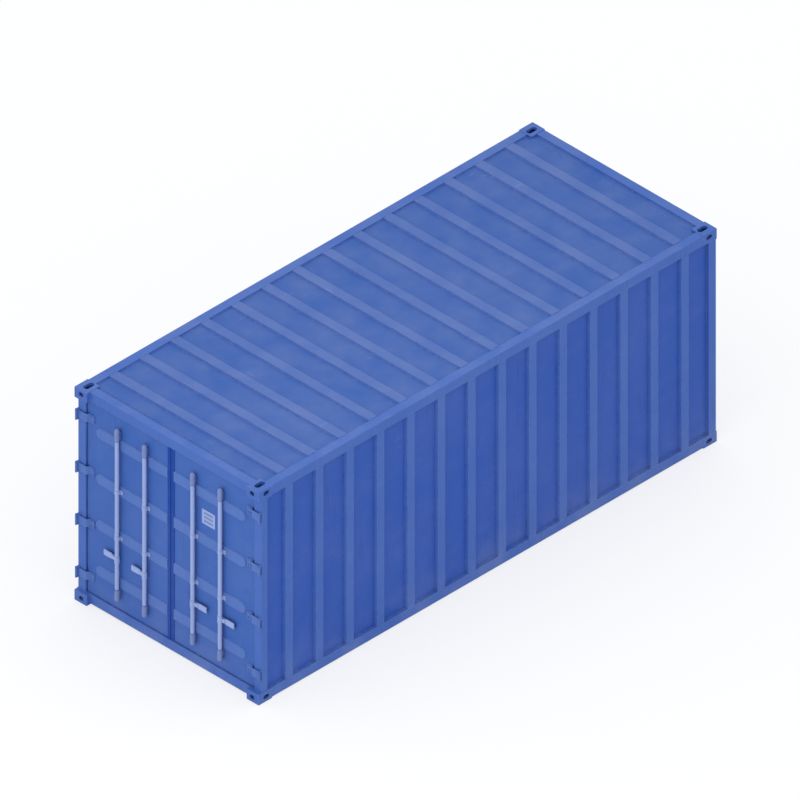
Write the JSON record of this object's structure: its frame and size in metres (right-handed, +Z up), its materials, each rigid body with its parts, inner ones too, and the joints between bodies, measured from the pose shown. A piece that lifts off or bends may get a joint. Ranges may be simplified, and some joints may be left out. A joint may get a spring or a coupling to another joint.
{
  "type": "shipping container",
  "caption": "Ribbed steel box for freight, with corner castings, a board floor and hinged double doors worked by turning locking bars with lifting handles.",
  "frame": {"origin": "on the ground under the middle of the container", "axes": "+X runs along the length from the doors to the closed end, +Y is the left as seen by someone who faces the doors, and +Z is up"},
  "size_m": [6.058, 2.438, 2.438],
  "materials": {
    "frame_paint": "satin blue paint",
    "panel_paint": "satin darker blue paint",
    "bar_paint": "satin pale blue paint",
    "bearing_paint": "satin grey blue paint",
    "seal_rubber": "matt dark blue rubber",
    "floor_plywood": "oiled hardwood plywood",
    "underframe_paint": "matt dark blue undercoat"
  },
  "bodies": {
    "box": {"casting_door_end_left_bottom": "frame_paint", "casting_door_end_left_top": "frame_paint", "casting_door_end_right_bottom": "frame_paint", "casting_door_end_right_top": "frame_paint", "casting_closed_end_left_bottom": "frame_paint", "casting_closed_end_left_top": "frame_paint", "casting_closed_end_right_bottom": "frame_paint", "casting_closed_end_right_top": "frame_paint", "door_header": "frame_paint", "door_sill": "frame_paint", "closed_end_top_rail": "frame_paint", "closed_end_bottom_rail": "frame_paint", "left_door_end_post": "frame_paint", "left_closed_end_post": "frame_paint", "left_top_side_rail": "frame_paint", "left_bottom_side_rail": "frame_paint", "left_side_wall": "panel_paint", "right_door_end_post": "frame_paint", "right_closed_end_post": "frame_paint", "right_top_side_rail": "frame_paint", "right_bottom_side_rail": "frame_paint", "right_side_wall": "panel_paint", "closed_end_wall": "panel_paint", "roof": "panel_paint", "roof_end_plates": "panel_paint", "floor_boards": "floor_plywood", "floor_cross_members": "underframe_paint"},
    "left_door": {"left_door_panel": "panel_paint", "left_door_frame": "panel_paint", "left_door_seal": "seal_rubber", "left_hinge_blades": "frame_paint", "left_bar_end_bearings": "bearing_paint", "left_bar_guides": "bar_paint", "left_handle_rests": "panel_paint"},
    "right_door": {"right_door_panel": "panel_paint", "right_door_frame": "panel_paint", "right_door_seal": "seal_rubber", "right_hinge_blades": "frame_paint", "right_bar_end_bearings": "bearing_paint", "right_bar_guides": "bar_paint", "right_handle_rests": "panel_paint", "safety_plate": "bar_paint"},
    "left_outer_bar": {"left_outer_locking_bar": "bar_paint"},
    "left_outer_handle": {"left_outer_bar_handle": "bar_paint"},
    "left_inner_bar": {"left_inner_locking_bar": "bar_paint"},
    "left_inner_handle": {"left_inner_bar_handle": "bar_paint"},
    "right_outer_bar": {"right_outer_locking_bar": "bar_paint"},
    "right_outer_handle": {"right_outer_bar_handle": "bar_paint"},
    "right_inner_bar": {"right_inner_locking_bar": "bar_paint"},
    "right_inner_handle": {"right_inner_bar_handle": "bar_paint"}
  },
  "joints": [
    {"name": "left_door_swing", "type": "hinge", "parent": "box", "child": "left_door", "pos_m": [-3.017, 1.207, 1.219], "axis": [0, 0, -1], "range_deg": [0, 270]},
    {"name": "right_door_swing", "type": "hinge", "parent": "box", "child": "right_door", "pos_m": [-3.017, -1.207, 1.219], "axis": [0, 0, 1], "range_deg": [0, 270]},
    {"name": "left_outer_bar_turn", "type": "hinge", "parent": "left_door", "child": "left_outer_bar", "pos_m": [-3.002, 0.681, 1.219], "axis": [0, 0, -1], "range_deg": [-90, 0]},
    {"name": "left_outer_handle_lift", "type": "hinge", "parent": "left_outer_bar", "child": "left_outer_handle", "pos_m": [-2.995, 0.731, 0.712], "axis": [1, 0, 0], "range_deg": [0, 25]},
    {"name": "left_inner_bar_turn", "type": "hinge", "parent": "left_door", "child": "left_inner_bar", "pos_m": [-3.002, 0.318, 1.219], "axis": [0, 0, -1], "range_deg": [-90, 0]},
    {"name": "left_inner_handle_lift", "type": "hinge", "parent": "left_inner_bar", "child": "left_inner_handle", "pos_m": [-2.995, 0.368, 0.712], "axis": [1, 0, 0], "range_deg": [0, 25]},
    {"name": "right_outer_bar_turn", "type": "hinge", "parent": "right_door", "child": "right_outer_bar", "pos_m": [-3.002, -0.681, 1.219], "axis": [0, 0, 1], "range_deg": [-90, 0]},
    {"name": "right_outer_handle_lift", "type": "hinge", "parent": "right_outer_bar", "child": "right_outer_handle", "pos_m": [-2.995, -0.731, 0.712], "axis": [-1, 0, 0], "range_deg": [0, 25]},
    {"name": "right_inner_bar_turn", "type": "hinge", "parent": "right_door", "child": "right_inner_bar", "pos_m": [-3.002, -0.318, 1.219], "axis": [0, 0, 1], "range_deg": [-90, 0]},
    {"name": "right_inner_handle_lift", "type": "hinge", "parent": "right_inner_bar", "child": "right_inner_handle", "pos_m": [-2.995, -0.368, 0.712], "axis": [-1, 0, 0], "range_deg": [0, 25]}
  ]
}
